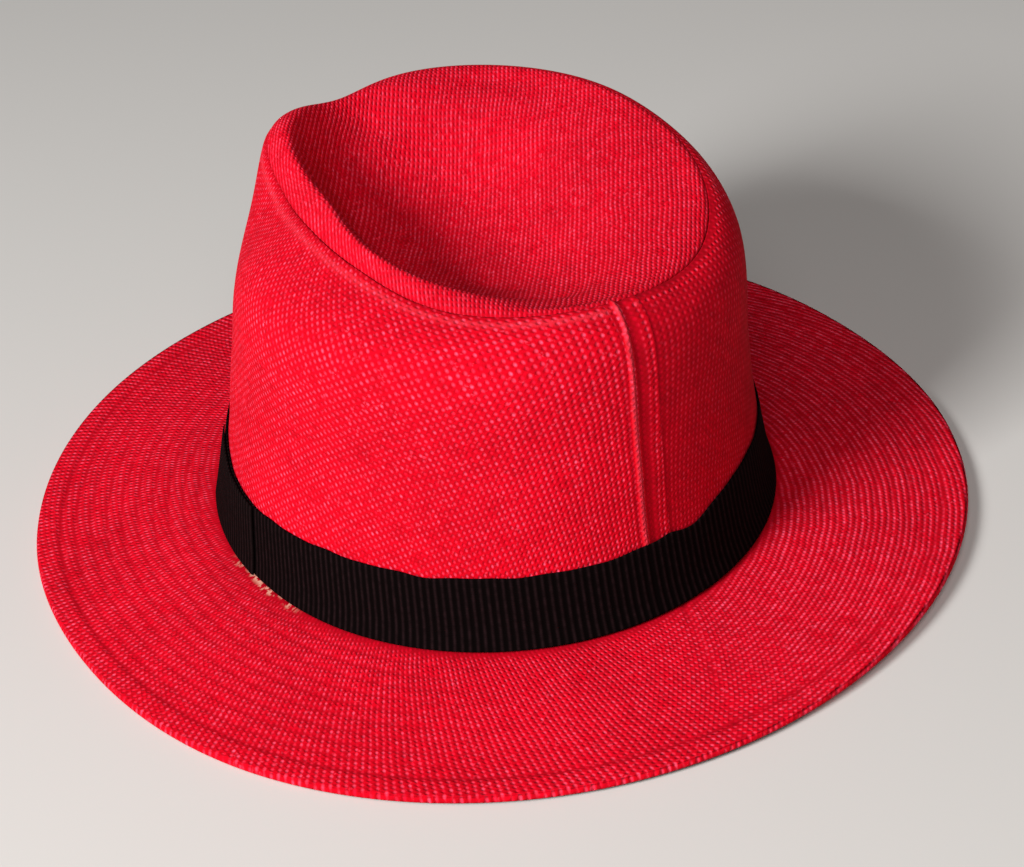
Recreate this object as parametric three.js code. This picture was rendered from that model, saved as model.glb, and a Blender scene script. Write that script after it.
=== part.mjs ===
// A fedora cut and sewn from coarse red woven cloth, with a black ribbed ribbon.
//
// The hat stands on its brim. Millimetres, +Z up, the origin on the surface under the middle of the hat.
// The front of the hat faces -Y, the wearer's left is +X and the back is +Y. A turn is an angle in degrees
// round the hat, 0 at the back seam and 90 at the wearer's left.

import * as THREE from 'three';
import { mergeVertices } from 'three/addons/utils/BufferGeometryUtils.js';
import { ParametricGeometry } from 'three/addons/geometries/ParametricGeometry.js';

// Driving sizes

const CROWN_LENGTH = 199;        // front to back over the foot of the crown
const CROWN_WIDTH = 177.5;       // side to side over the foot of the crown
const CROWN_HEIGHT = 120;        // from the foot of the crown to its highest ridge
const FOOT_HEIGHT = 6;           // of the crown's foot above the surface
const BRIM_WIDTH = 63;           // from the crown's foot to the edge
const EDGE_LIFT = 3;             // the most that the brim's edge rises off the surface
const CLOTH = 1.8;               // thickness of the woven cloth
const HEM_WIDTH = 8;             // of the turned hem at the brim's edge
const HEM_THICKNESS = 2.6;       // the cloth folded over and sewn flat
const COLLAR_HEIGHT = 6;         // of the brim's inner edge turned up inside the crown
const TUCK = 8;                  // of the tip's edge turned down inside the side wall
const WELT_WIDTH = 2.2;          // of the raised back seam
const WELT_HEIGHT = 0.7;         // that the back seam stands proud
const RIBBON_HEIGHT = 26;        // of the ribbon
const RIBBON = 1;                // thickness of the ribbon
const RIBBON_FLARE = 1.6;        // how far the ribbon's lower edge stands off, over the bend of the brim
const LAP_START = 88;            // turn where the lapped end of the ribbon starts
const LAP_END = 122;             // turn where it goes back under
const GAP = 0.3;                 // clearance between two pieces

// Tables. Lengths are shares of the sizes above.

// The side of the crown, every 30 degrees of turn. overRibbon, waist and shoulder are shares of the foot's
// radius at that turn, and the columns in ...Up are shares of the crown's height above its foot.
const CROWN = [
  { overRibbon: 0.965, waist: 0.960, shoulder: 0.942, shoulderUp: 0.767 },
  { overRibbon: 0.965, waist: 0.951, shoulder: 0.918, shoulderUp: 0.775 },
  { overRibbon: 0.965, waist: 0.928, shoulder: 0.880, shoulderUp: 0.783 },
  { overRibbon: 0.958, waist: 0.900, shoulder: 0.825, shoulderUp: 0.783 },
  { overRibbon: 0.925, waist: 0.858, shoulder: 0.758, shoulderUp: 0.770 },
  { overRibbon: 0.940, waist: 0.862, shoulder: 0.775, shoulderUp: 0.790 },
  { overRibbon: 0.962, waist: 0.897, shoulder: 0.866, shoulderUp: 0.832 },
  { overRibbon: 0.965, waist: 0.922, shoulder: 0.896, shoulderUp: 0.860 },
  { overRibbon: 0.965, waist: 0.938, shoulder: 0.902, shoulderUp: 0.860 },
  { overRibbon: 0.965, waist: 0.947, shoulder: 0.902, shoulderUp: 0.825 },
  { overRibbon: 0.965, waist: 0.948, shoulder: 0.922, shoulderUp: 0.772 },
  { overRibbon: 0.965, waist: 0.959, shoulder: 0.947, shoulderUp: 0.758 },
];
// The tip, in the same way: seam is where it is sewn to the side, ridge is the crest beside the dent.
const TIP = [
  { seam: 0.838, seamUp: 0.842, ridge: 0.774, ridgeUp: 0.825 },
  { seam: 0.750, seamUp: 0.858, ridge: 0.674, ridgeUp: 0.883 },
  { seam: 0.628, seamUp: 0.900, ridge: 0.573, ridgeUp: 0.940 },
  { seam: 0.568, seamUp: 0.914, ridge: 0.480, ridgeUp: 0.966 },
  { seam: 0.584, seamUp: 0.913, ridge: 0.502, ridgeUp: 0.968 },
  { seam: 0.705, seamUp: 0.968, ridge: 0.618, ridgeUp: 1.000 },
  { seam: 0.752, seamUp: 0.952, ridge: 0.686, ridgeUp: 0.975 },
  { seam: 0.806, seamUp: 0.940, ridge: 0.704, ridgeUp: 0.930 },
  { seam: 0.821, seamUp: 0.928, ridge: 0.725, ridgeUp: 0.916 },
  { seam: 0.821, seamUp: 0.903, ridge: 0.735, ridgeUp: 0.900 },
  { seam: 0.839, seamUp: 0.860, ridge: 0.755, ridgeUp: 0.866 },
  { seam: 0.854, seamUp: 0.812, ridge: 0.775, ridgeUp: 0.828 },
];
// Height of the waist, as a share of the crown's height.
const LEVEL = { waistUp: 0.458 };

// The floor of the dent, from its back end to its front end: side is a share of the crown's width towards
// the wearer's left, back is a share of its length, up a share of its height.
const DENT_FLOOR = [
  { side: 0.010, back: 0.260, up: 0.765 },
  { side: 0.050, back: 0.110, up: 0.705 },
  { side: 0.045, back: -0.110, up: 0.715 },
  { side: 0.000, back: -0.255, up: 0.860 },
];
// Where the dent's wall bends between the ridge and the floor, across and down as shares of the way. The
// broad slope is on the wearer's right, the steep one under the left crest.
const DENT_WALL = [
  { across: 0.30, down: 0.22, steepAcross: 0.20, steepDown: 0.36 },
  { across: 0.65, down: 0.72, steepAcross: 0.48, steepDown: 0.86 },
];
// How steep that wall is, every 30 degrees of turn: 0 is the broad slope and 1 the steep one.
const DENT_STEEP = [
  { steep: 0.1 },
  { steep: 0.5 },
  { steep: 0.9 },
  { steep: 1.0 },
  { steep: 1.0 },
  { steep: 1.0 },
  { steep: 0.4 },
  { steep: 0.0 },
  { steep: 0.0 },
  { steep: 0.0 },
  { steep: 0.0 },
  { steep: 0.0 },
];
// The pinch at the front, where the dent runs out over the rim: drop is a share of the crown's height.
const PINCH = { turn: 177, spread: 13, drop: 0.030 };

// The brim's edge, every 30 degrees of turn: out is a share of the brim's width, lift one of the edge's lift.
const BRIM_EDGE = [
  { out: 0.990, lift: 0.50 },
  { out: 1.005, lift: 0.30 },
  { out: 1.000, lift: 0.00 },
  { out: 0.980, lift: 0.00 },
  { out: 1.010, lift: 0.00 },
  { out: 1.020, lift: 0.40 },
  { out: 0.990, lift: 0.60 },
  { out: 1.020, lift: 0.20 },
  { out: 1.010, lift: 0.00 },
  { out: 0.980, lift: 0.00 },
  { out: 1.000, lift: 0.30 },
  { out: 1.005, lift: 1.00 },
];
// The brim's slope from the crown to the hem: out and down are shares of the whole way.
const BRIM_SLOPE = [
  { out: 0.00, down: 0.00 },
  { out: 0.15, down: 0.08 },
  { out: 0.35, down: 0.32 },
  { out: 0.65, down: 0.72 },
  { out: 1.00, down: 1.00 },
];

// The ribbon every 30 degrees of turn: its top edge as a share of its height, which sags at the back and
// rides up beside the back seam, and how much of the flare its lower edge has.
const RIBBON_TABLE = [
  { up: 0.90, flare: 1.0 },
  { up: 0.93, flare: 1.0 },
  { up: 0.98, flare: 0.9 },
  { up: 0.97, flare: 0.3 },
  { up: 1.00, flare: 0.1 },
  { up: 1.00, flare: 0.1 },
  { up: 0.99, flare: 0.4 },
  { up: 0.98, flare: 0.5 },
  { up: 0.98, flare: 0.5 },
  { up: 0.99, flare: 0.5 },
  { up: 1.00, flare: 0.6 },
  { up: 1.02, flare: 0.9 },
];

// Fineness of the meshes

const COLUMNS = 60;
const SIDE_ROWS = [0, 0.5, 1, 1.5, 2, 2.5, 2.8, 3.1, 3.4, 3.7, 4];
const TIP_ROWS = [4.25, 4.5, 4.75, 5, 5.25, 5.5, 5.75, 6, 6.5, 7, 7.5, 8];
const RIBBON_ROWS = [0.01, 0.12, 0.3, 0.65, 1];
const FLARE_SHARE = 0.4;
const ROW_OF = { seam: 4, valley: 8 };
const STEP = 1e-3;

// Interpolation

function lerp(a, b, share) {
  return a + (b - a) * share;
}

// A smooth curve through four values, between the middle two.
function smooth(a, b, c, d, s) {
  const slopeB = (c - a) / 2;
  const slopeC = (d - b) / 2;
  const cubic = 2 * b - 2 * c + slopeB + slopeC;
  const square = -3 * b + 3 * c - 2 * slopeB - slopeC;
  return ((cubic * s + square) * s + slopeB) * s + b;
}

// A column of a table that goes once round the hat.
function around(table, column, turn) {
  const place = (((turn % 360) + 360) % 360) / 360 * table.length;
  const row = Math.floor(place);
  const value = (i) => table[(row + i + table.length) % table.length][column];
  return smooth(value(-1), value(0), value(1), value(2), place - row);
}

function radians(turn) {
  return turn * Math.PI / 180;
}

// The point at a radius and a height on the ray at a turn.
function onRay(turn, radius, height) {
  const angle = radians(turn);
  return new THREE.Vector3(radius * Math.sin(angle), radius * Math.cos(angle), height);
}

// Radius of the oval foot of the crown.
function footRadius(turn) {
  const mean = (CROWN_LENGTH + CROWN_WIDTH) / 4;
  const stretch = (CROWN_LENGTH - CROWN_WIDTH) / 4;
  return mean + stretch * Math.cos(2 * radians(turn));
}

// The crown's outer surface

const floorCurve = new THREE.CatmullRomCurve3(DENT_FLOOR.map((row) => new THREE.Vector3(
  row.side * CROWN_WIDTH,
  row.back * CROWN_LENGTH,
  FOOT_HEIGHT + row.up * CROWN_HEIGHT,
)));

// Both sides of the dent meet on its floor line, so a turn and its mirror give the same point.
function floorShare(turn) {
  return (1 - Math.cos(radians(turn))) / 2;
}

// How far the rim dips at the pinch, as a share of the crown's height: a bell round its turn.
function pinch(turn) {
  const away = (turn - PINCH.turn) / PINCH.spread;
  return PINCH.drop * Math.exp(-away * away);
}

// The crown's profile at a turn, from its foot over the seam and the ridge to the floor of the dent.
function crownProfile(turn) {
  const foot = footRadius(turn);
  const ring = (radiusShare, upShare) => onRay(
    turn,
    foot * radiusShare,
    FOOT_HEIGHT + CROWN_HEIGHT * upShare,
  );
  const dip = pinch(turn);
  const ridge = ring(around(TIP, 'ridge', turn), around(TIP, 'ridgeUp', turn) - dip);
  const floor = floorCurve.getPoint(floorShare(turn));
  const steep = around(DENT_STEEP, 'steep', turn);
  const wall = DENT_WALL.map((bend) => {
    const across = lerp(bend.across, bend.steepAcross, steep);
    const down = lerp(bend.down, bend.steepDown, steep);
    return new THREE.Vector3(
      lerp(ridge.x, floor.x, across),
      lerp(ridge.y, floor.y, across),
      lerp(ridge.z, floor.z, down),
    );
  });
  return new THREE.CatmullRomCurve3([
    ring(1, 0),
    ring(around(CROWN, 'overRibbon', turn), RIBBON_HEIGHT / CROWN_HEIGHT),
    ring(around(CROWN, 'waist', turn), LEVEL.waistUp),
    ring(around(CROWN, 'shoulder', turn), around(CROWN, 'shoulderUp', turn)),
    ring(around(TIP, 'seam', turn), around(TIP, 'seamUp', turn) - dip),
    ridge,
    ...wall,
    floor,
  ]);
}

function crownSurface(turn, row) {
  return crownProfile(turn).getPoint(row / ROW_OF.valley);
}

// The direction out of the cloth. On the dent's floor line it stands square to that line.
function crownNormal(turn, row) {
  if (row === ROW_OF.valley) {
    const along = floorCurve.getTangent(floorShare(turn));
    return new THREE.Vector3(0, along.z, -along.y).normalize();
  }
  const up = crownSurface(turn, Math.min(row + STEP, ROW_OF.valley));
  up.sub(crownSurface(turn, Math.max(row - STEP, 0)));
  const side = crownSurface(turn + STEP, row).sub(crownSurface(turn - STEP, row));
  return up.cross(side).normalize();
}

// A point at a depth under the crown's outer surface. A negative depth lies outside it.
function crownPoint(turn, row, depth) {
  return crownSurface(turn, row).addScaledVector(crownNormal(turn, row), -depth);
}

// How far a row number goes for each millimetre along the profile.
function rowsPerMillimetre(turn, row) {
  const length = crownSurface(turn, row + STEP).distanceTo(crownSurface(turn, row - STEP));
  return 2 * STEP / length;
}

// Meshes

function evenTurns() {
  return Array.from({ length: COLUMNS }, (_, i) => 360 * i / COLUMNS);
}

// A closed surface from one section at each turn. A section is a loop, or a strip whose two ends close by
// meeting the strip on the other side of the hat.
function sweep(turns, section, isLoop) {
  const sections = turns.map(section);
  const across = sections[0].length - (isLoop ? 0 : 1);
  const surface = (u, v, target) => {
    const column = Math.round(v * turns.length) % turns.length;
    const point = Math.round(u * across) % sections[0].length;
    target.copy(sections[column][point]);
  };
  const geometry = new ParametricGeometry(surface, across, turns.length);
  geometry.deleteAttribute('normal');
  geometry.deleteAttribute('uv');
  return closed(geometry);
}

// Joins the vertices that lie on one another, so that the surface is one closed shell.
function closed(geometry) {
  const merged = mergeVertices(geometry, 1e-4);
  merged.computeVertexNormals();
  return merged;
}

// Pieces

// The welt of the back seam: a low rounded rib from the ribbon's top edge to the tip's seam.
function weltHeight(turn, row) {
  const off = Math.abs(radians(turn)) * footRadius(turn);
  const rib = Math.max(0, 1 - (2 * off / WELT_WIDTH) ** 2);
  const grown = THREE.MathUtils.smoothstep(row, 1.05, 1.5);
  return WELT_HEIGHT * rib * grown;
}

// Turns with a few more columns where the back seam stands proud.
function seamTurns() {
  const half = THREE.MathUtils.radToDeg(WELT_WIDTH / 2 / footRadius(0));
  return [-half, -half / 2, 0, half / 2, half, ...evenTurns().slice(1)];
}

function crownSideGeometry() {
  const section = (turn) => [
    ...SIDE_ROWS.map((row) => crownPoint(turn, row, -weltHeight(turn, row))),
    ...SIDE_ROWS.slice(1).toReversed().map((row) => crownPoint(turn, row, CLOTH)),
    crownPoint(turn, 0, CLOTH).setZ(FOOT_HEIGHT),
  ];
  return sweep(seamTurns(), section, true);
}

function crownTipGeometry() {
  const section = (turn) => {
    const perMillimetre = rowsPerMillimetre(turn, ROW_OF.seam);
    const edge = ROW_OF.seam + GAP * perMillimetre;
    const tucked = ROW_OF.seam - TUCK * perMillimetre;
    const half = (edge + tucked) / 2;
    const bent = ROW_OF.seam + CLOTH * perMillimetre;
    const inside = TIP_ROWS.toReversed().map((row) => crownPoint(turn, row, CLOTH));
    const outside = TIP_ROWS.map((row) => crownPoint(turn, row, 0));
    return [
      ...inside,
      crownPoint(turn, edge, 2 * CLOTH + GAP),
      crownPoint(turn, half, 2 * (CLOTH + GAP)),
      crownPoint(turn, tucked, 2 * (CLOTH + GAP)),
      crownPoint(turn, tucked, CLOTH + 2 * GAP),
      crownPoint(turn, half, CLOTH + 2 * GAP),
      crownPoint(turn, edge, CLOTH + GAP),
      crownPoint(turn, edge, CLOTH / 4),
      crownPoint(turn, bent, 0),
      ...outside,
    ];
  };
  return sweep(evenTurns(), section, false);
}

// Height of the brim's upper face at a share of the way from the crown to its edge.
function brimTop(turn, share) {
  const top = FOOT_HEIGHT - GAP;
  const edge = brimLift(turn) + HEM_THICKNESS;
  const next = BRIM_SLOPE.findIndex((row) => row.out >= share);
  if (next === 0) {
    return top;
  }
  const from = BRIM_SLOPE[next - 1];
  const to = BRIM_SLOPE[next];
  const down = lerp(from.down, to.down, (share - from.out) / (to.out - from.out));
  return lerp(top, edge, down);
}

function brimLift(turn) {
  return Math.max(0, EDGE_LIFT * around(BRIM_EDGE, 'lift', turn));
}

function brimGeometry() {
  const section = (turn) => {
    const foot = footRadius(turn);
    const width = BRIM_WIDTH * around(BRIM_EDGE, 'out', turn);
    const hemShare = 1 - HEM_WIDTH / width;
    const fold = (HEM_THICKNESS - CLOTH) / 2;
    const round = HEM_THICKNESS / 3;
    const lift = brimLift(turn);
    const face = (share, sink) => onRay(turn, foot + width * share, brimTop(turn, share) - sink);
    const flatShares = [0, ...BRIM_SLOPE.slice(1, -1).map((row) => row.out * hemShare), hemShare - 0.015];
    const collarRow = COLLAR_HEIGHT / RIBBON_HEIGHT;
    const collarIn = crownPoint(turn, 0, 2 * CLOTH + GAP);
    const collarOut = crownPoint(turn, 0, CLOTH + GAP);
    return [
      crownPoint(turn, collarRow, CLOTH + GAP),
      new THREE.Vector3(collarOut.x, collarOut.y, FOOT_HEIGHT - GAP),
      ...flatShares.map((share) => face(share, share === 0 ? 0 : fold)),
      face(hemShare, 0),
      face(1 - round / width, 0),
      onRay(turn, foot + width, lift + HEM_THICKNESS / 2),
      onRay(turn, foot + width - round, lift),
      onRay(turn, foot + width * hemShare, lift),
      ...flatShares.toReversed().map((share) => face(share, CLOTH + (share === 0 ? 0 : fold))),
      new THREE.Vector3(collarIn.x, collarIn.y, FOOT_HEIGHT - GAP - CLOTH / 2),
      crownPoint(turn, collarRow, 2 * CLOTH + GAP),
    ].reverse();
  };
  return sweep(evenTurns(), section, true);
}

// A point of the ribbon: height is a share of the ribbon's own height at that turn. Its lower third flares.
function ribbonPoint(turn, height, depth) {
  const low = Math.max(0, 1 - height / FLARE_SHARE);
  const flare = RIBBON_FLARE * around(RIBBON_TABLE, 'flare', turn) * low ** 2;
  return crownPoint(turn, height * around(RIBBON_TABLE, 'up', turn), depth - flare);
}

function ribbonGeometry() {
  const section = (turn) => [
    ...RIBBON_ROWS.map((row) => ribbonPoint(turn, row, -GAP - RIBBON)),
    ...RIBBON_ROWS.toReversed().map((row) => ribbonPoint(turn, row, -GAP)),
  ];
  return sweep(evenTurns(), section, true);
}

// The lapped end: a flat strip bent round the ribbon.
function lapGeometry() {
  const columns = Math.round((LAP_END - LAP_START) / 360 * COLUMNS);
  const geometry = new THREE.BoxGeometry(1, 1, 1, columns, RIBBON_ROWS.length - 1, 1);
  geometry.deleteAttribute('normal');
  geometry.deleteAttribute('uv');
  const position = geometry.attributes.position;
  for (let i = 0; i < position.count; i += 1) {
    const turn = lerp(LAP_END, LAP_START, position.getX(i) + 0.5);
    const height = lerp(RIBBON_ROWS[0], 1, position.getY(i) + 0.5);
    const depth = -2 * GAP - RIBBON - RIBBON * (position.getZ(i) + 0.5);
    position.setXYZ(i, ...ribbonPoint(turn, height, depth).toArray());
  }
  return closed(geometry);
}

// Materials and assembly

function wovenCloth(color) {
  return new THREE.MeshStandardMaterial({ color, roughness: 0.85, metalness: 0 });
}

function piece(name, geometry, material) {
  const mesh = new THREE.Mesh(geometry, material);
  mesh.name = name;
  return mesh;
}

const hat = new THREE.Group();
hat.add(piece('crown_side', crownSideGeometry(), wovenCloth(0xdc0626)));
hat.add(piece('crown_tip', crownTipGeometry(), wovenCloth(0xd90522)));
hat.add(piece('brim', brimGeometry(), wovenCloth(0xd60524)));
hat.add(piece('hat_band', ribbonGeometry(), wovenCloth(0x17100f)));
hat.add(piece('band_lap', lapGeometry(), wovenCloth(0x1a1312)));

export default hat;
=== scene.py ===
# %% [markdown]
# # A red woven fedora
# The hat is cut from coarse red cloth in three panels, a side, a top and a brim, which are sewn together,
# pressed over a block and trimmed with a black ribbed ribbon. It stands on its brim, seen from behind on the
# wearer's left side. The lesson builds each panel as a surface worked out from a few tables of shares, so
# that every panel follows the same block, and then gives the cloth its weave in the material.

# %% The frame
import math

import bmesh
import bpy
import numpy as np
from mathutils import Matrix, Vector


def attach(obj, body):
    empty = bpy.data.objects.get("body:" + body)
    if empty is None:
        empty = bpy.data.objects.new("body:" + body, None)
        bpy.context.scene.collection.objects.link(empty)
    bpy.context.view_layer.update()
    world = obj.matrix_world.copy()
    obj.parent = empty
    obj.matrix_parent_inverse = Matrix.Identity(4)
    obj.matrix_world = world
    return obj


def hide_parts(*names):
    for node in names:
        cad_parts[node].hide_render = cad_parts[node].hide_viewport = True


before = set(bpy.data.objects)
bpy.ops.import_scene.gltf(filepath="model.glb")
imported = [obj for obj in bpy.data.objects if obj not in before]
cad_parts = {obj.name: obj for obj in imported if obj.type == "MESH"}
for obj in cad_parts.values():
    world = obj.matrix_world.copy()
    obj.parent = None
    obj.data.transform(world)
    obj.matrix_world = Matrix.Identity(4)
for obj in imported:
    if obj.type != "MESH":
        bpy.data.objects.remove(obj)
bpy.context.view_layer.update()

MM = 0.001
print("frame nodes:", sorted(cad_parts))

# %% [markdown]
# ## Sizes
# A milliner starts from the head size and a block. The sizes below are those of the block and of the cloth,
# in millimetres, and the tables hold shares of them, one row every 30 degrees round the hat, starting at the
# back seam and going towards the wearer's left. A table is easier to adjust by eye than a list of points.

# %% Sizes of the hat
CROWN_LENGTH = 199.0       # of the oval at the foot of the crown, front to back
CROWN_WIDTH = 177.5
CROWN_HEIGHT = 120.0       # to the highest point of the ridge
FOOT_HEIGHT = 6.0          # of the foot of the crown above the surface
BRIM_WIDTH = 63.0
EDGE_LIFT = 3.0            # the most that the brim's edge rises
CLOTH = 1.8                # thickness
HEM_WIDTH = 8.0
HEM_THICKNESS = 2.6
COLLAR_HEIGHT = 6.0        # of the brim's inner edge turned up inside the crown
TUCK = 8.0                 # of the tip's edge turned down inside the side
WELT_WIDTH = 2.2           # of the raised back seam
WELT_HEIGHT = 0.7
RIBBON_HEIGHT = 26.0
RIBBON = 0.7               # thickness
RIBBON_FLARE = 1.6         # how far the lower edge stands off, over the bend of the brim
FLARE_SHARE = 0.4          # of the ribbon's height that flares
LAP_START = 88.0           # turn where the lapped end starts
LAP_END = 122.0
GAP = 0.3                  # between two pieces

# %% Tables of the block
CROWN = {
    "over_ribbon": [.965, .965, .965, .958, .925, .940, .962, .965, .965, .965, .965, .965],
    "waist": [.960, .951, .928, .900, .858, .862, .897, .922, .938, .947, .948, .959],
    "shoulder": [.942, .918, .880, .825, .758, .775, .866, .896, .902, .902, .922, .947],
    "shoulder_up": [.767, .775, .783, .783, .770, .790, .832, .860, .860, .825, .772, .758],
    "seam": [.838, .750, .628, .568, .584, .705, .752, .806, .821, .821, .839, .854],
    "seam_up": [.842, .858, .900, .914, .913, .968, .952, .940, .928, .903, .860, .812],
    "ridge": [.774, .674, .573, .480, .502, .618, .686, .704, .725, .735, .755, .775],
    "ridge_up": [.825, .883, .940, .966, .968, 1.00, .975, .930, .916, .900, .866, .828],
}
WAIST_UP = 0.458
DENT_FLOOR = [(.010, .260, .765), (.050, .110, .705), (.045, -.110, .715), (.000, -.255, .860)]
DENT_WALL = [(0.30, 0.22, 0.20, 0.36), (0.65, 0.72, 0.48, 0.86)]
DENT_STEEP = [.1, .5, .9, 1.0, 1.0, 1.0, .4, .0, .0, .0, .0, .0]
PINCH_TURN, PINCH_SPREAD, PINCH_DROP = 177.0, 13.0, 0.030
BRIM_OUT = [.990, 1.005, 1.000, .980, 1.010, 1.020, .990, 1.020, 1.010, .980, 1.000, 1.005]
BRIM_LIFT = [.50, .30, .00, .00, .00, .40, .60, .20, .00, .00, .30, 1.00]
BRIM_SLOPE = [(0.00, 0.00), (0.15, 0.08), (0.35, 0.32), (0.65, 0.72), (1.00, 1.00)]
RIBBON_TOP = [.90, .93, .98, .97, 1.00, 1.00, .99, .98, .98, .99, 1.00, 1.02]
RIBBON_SPREAD = [1.0, 1.0, .9, .3, .1, .1, .4, .5, .5, .5, .6, .9]
SEAM_RING = 4.0            # row numbers of the block, explained below
VALLEY_RING = 8.0
print("crown tables:", ", ".join(CROWN))

# %% [markdown]
# ## The block
# The crown is one smooth surface of two parameters: the turn round the hat and a row number that runs from
# the foot (0) over the ribbon (1), the waist (2), the shoulder (3), the seam (4) and the ridge (5) down the
# wall of the dent to its floor (8). Every panel of the crown and the ribbon take their place from it.

# %% Curves through tables
def around(column, turn):
    """The column at each turn in degrees: the cubic through four neighbours, closed round the hat."""
    values = np.asarray(column, float)
    place = np.mod(np.asarray(turn, float), 360.0) / 360.0 * len(values)
    row = np.floor(place).astype(int)
    s = place - row
    a, b, c, d = (values[(row + i) % len(values)] for i in (-1, 0, 1, 2))
    slope_b, slope_c = (c - a) / 2, (d - b) / 2
    cubic = 2 * b - 2 * c + slope_b + slope_c
    square = -3 * b + 3 * c - 2 * slope_b - slope_c
    return ((cubic * s + square) * s + slope_b) * s + b


def through(points, place):
    """A centripetal curve through points[0], points[1]...: place 1.5 is halfway from points[1] to points[2].

    Each span is the cubic whose end slopes weigh the neighbouring spans by the square root of their length.
    points has shape (rings, ..., 3), and place broadcasts against its middle axes.
    """
    first = 2 * points[:1] - points[1:2]
    last = 2 * points[-1:] - points[-2:-1]
    p = np.concatenate([first, points, last])
    span = np.clip(np.floor(place).astype(int), 0, len(points) - 2)
    s = (place - span)[..., None]
    column = np.broadcast_to(np.arange(points.shape[1]), span.shape)
    a, b, c, d = (p[span + i, column] for i in range(4))
    steps = [np.sqrt(np.linalg.norm(y - x, axis=-1))[..., None] for x, y in ((a, b), (b, c), (c, d))]
    one, two, three = (np.where(step < 1e-4, steps[1], step) for step in steps)
    slope_b = ((b - a) / one - (c - a) / (one + two) + (c - b) / two) * two
    slope_c = ((c - b) / two - (d - b) / (two + three) + (d - c) / three) * two
    cubic = 2 * b - 2 * c + slope_b + slope_c
    square = -3 * b + 3 * c - 2 * slope_b - slope_c
    return ((cubic * s + square) * s + slope_b) * s + b


# %% The crown's surface
def on_ray(turn, radius, height):
    """The point at a radius and a height on the ray at a turn: (r sin t, r cos t, z)."""
    angle = np.radians(turn)
    x, y, z = np.broadcast_arrays(radius * np.sin(angle), radius * np.cos(angle), height)
    return np.stack([x, y, z], axis=-1)


def foot_radius(turn):
    """Radius of the oval foot: its mean plus half the difference of the half axes times cos 2t."""
    mean = (CROWN_LENGTH + CROWN_WIDTH) / 4
    return mean + (CROWN_LENGTH - CROWN_WIDTH) / 4 * np.cos(2 * np.radians(turn))


def floor_line(share):
    """The floor line of the dent, from its back end (0) to its front end (1)."""
    scale = np.array([CROWN_WIDTH, CROWN_LENGTH, CROWN_HEIGHT])
    points = np.array(DENT_FLOOR) * scale + np.array([0, 0, FOOT_HEIGHT])
    share = np.asarray(share, float)
    line = np.broadcast_to(points[:, None], (len(points), share.size, 3))
    return through(line, share.reshape(-1) * (len(points) - 1)).reshape(share.shape + (3,))


def floor_share(turn):
    """Both sides of the dent meet on its floor line: the share is (1 - cos t) / 2."""
    return (1 - np.cos(np.radians(turn))) / 2


def crown_rings(turn):
    """The nine rings of the block at each turn, as an array of shape (9, turns, 3)."""
    foot = foot_radius(turn)

    def ring(radius, up):
        return on_ray(turn, foot * radius, FOOT_HEIGHT + CROWN_HEIGHT * up)

    dip = PINCH_DROP * np.exp(-((turn - PINCH_TURN) / PINCH_SPREAD) ** 2)
    ridge = ring(around(CROWN["ridge"], turn), around(CROWN["ridge_up"], turn) - dip)
    floor = floor_line(floor_share(turn))
    steep = around(DENT_STEEP, turn)
    wall = []
    for broad_across, broad_down, steep_across, steep_down in DENT_WALL:
        across = broad_across + (steep_across - broad_across) * steep
        down = broad_down + (steep_down - broad_down) * steep
        wall.append(ridge + (floor - ridge) * np.stack([across, across, down], axis=-1))
    return np.stack([
        ring(1.0, 0.0),
        ring(around(CROWN["over_ribbon"], turn), RIBBON_HEIGHT / CROWN_HEIGHT),
        ring(around(CROWN["waist"], turn), WAIST_UP),
        ring(around(CROWN["shoulder"], turn), around(CROWN["shoulder_up"], turn)),
        ring(around(CROWN["seam"], turn), around(CROWN["seam_up"], turn) - dip),
        ridge,
        *wall,
        floor,
    ])


def crown_surface(turn, row):
    """The block's surface on a grid: turn has shape (1, T) or (R, T), row broadcasts with it."""
    turn, row = np.broadcast_arrays(np.asarray(turn, float), np.asarray(row, float))
    flat = crown_rings(turn.reshape(-1))
    return through(flat, row.reshape(-1)).reshape(turn.shape + (3,))


def unit(vector):
    """A vector divided by its length."""
    return vector / np.maximum(np.linalg.norm(vector, axis=-1, keepdims=True), 1e-12)


def crown_normal(turn, row, step=1e-3):
    """The direction out of the cloth: the slope along the profile crossed with the slope round the hat."""
    turn, row = np.broadcast_arrays(np.asarray(turn, float), np.asarray(row, float))
    above = crown_surface(turn, np.minimum(row + step, VALLEY_RING))
    up = above - crown_surface(turn, np.maximum(row - step, 0))
    side = crown_surface(turn + step, row) - crown_surface(turn - step, row)
    share = floor_share(turn)
    along = floor_line(np.minimum(share + step, 1)) - floor_line(np.maximum(share - step, 0))
    square = unit(np.stack([0 * along[..., 0], along[..., 2], -along[..., 1]], axis=-1))
    at_floor = (row >= VALLEY_RING)[..., None]
    return np.where(at_floor, square, unit(np.cross(up, side)))


def crown_point(turn, row, depth):
    """A point at a depth in millimetres under the block's surface; a negative depth lies outside it."""
    depth = np.asarray(depth, float)
    return crown_surface(turn, row) - crown_normal(turn, row) * depth[..., None]


test = crown_surface(np.array([[0.0, 90.0, 180.0, 270.0]]), np.array([[SEAM_RING]]))
print("seam at back, left, front, right (mm):", np.round(test[0], 1).tolist())

# %% [markdown]
# ## From a grid to cloth
# A panel of cloth is a closed shell: an outer face, an inner face and the cut edges between them. One grid
# holds all of it, with sections that run up the outside and down the inside, so no modifier has to guess
# which way is out. The UV map holds millimetres along the threads, because a weave must neither stretch nor
# slide where the cloth bends.

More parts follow.
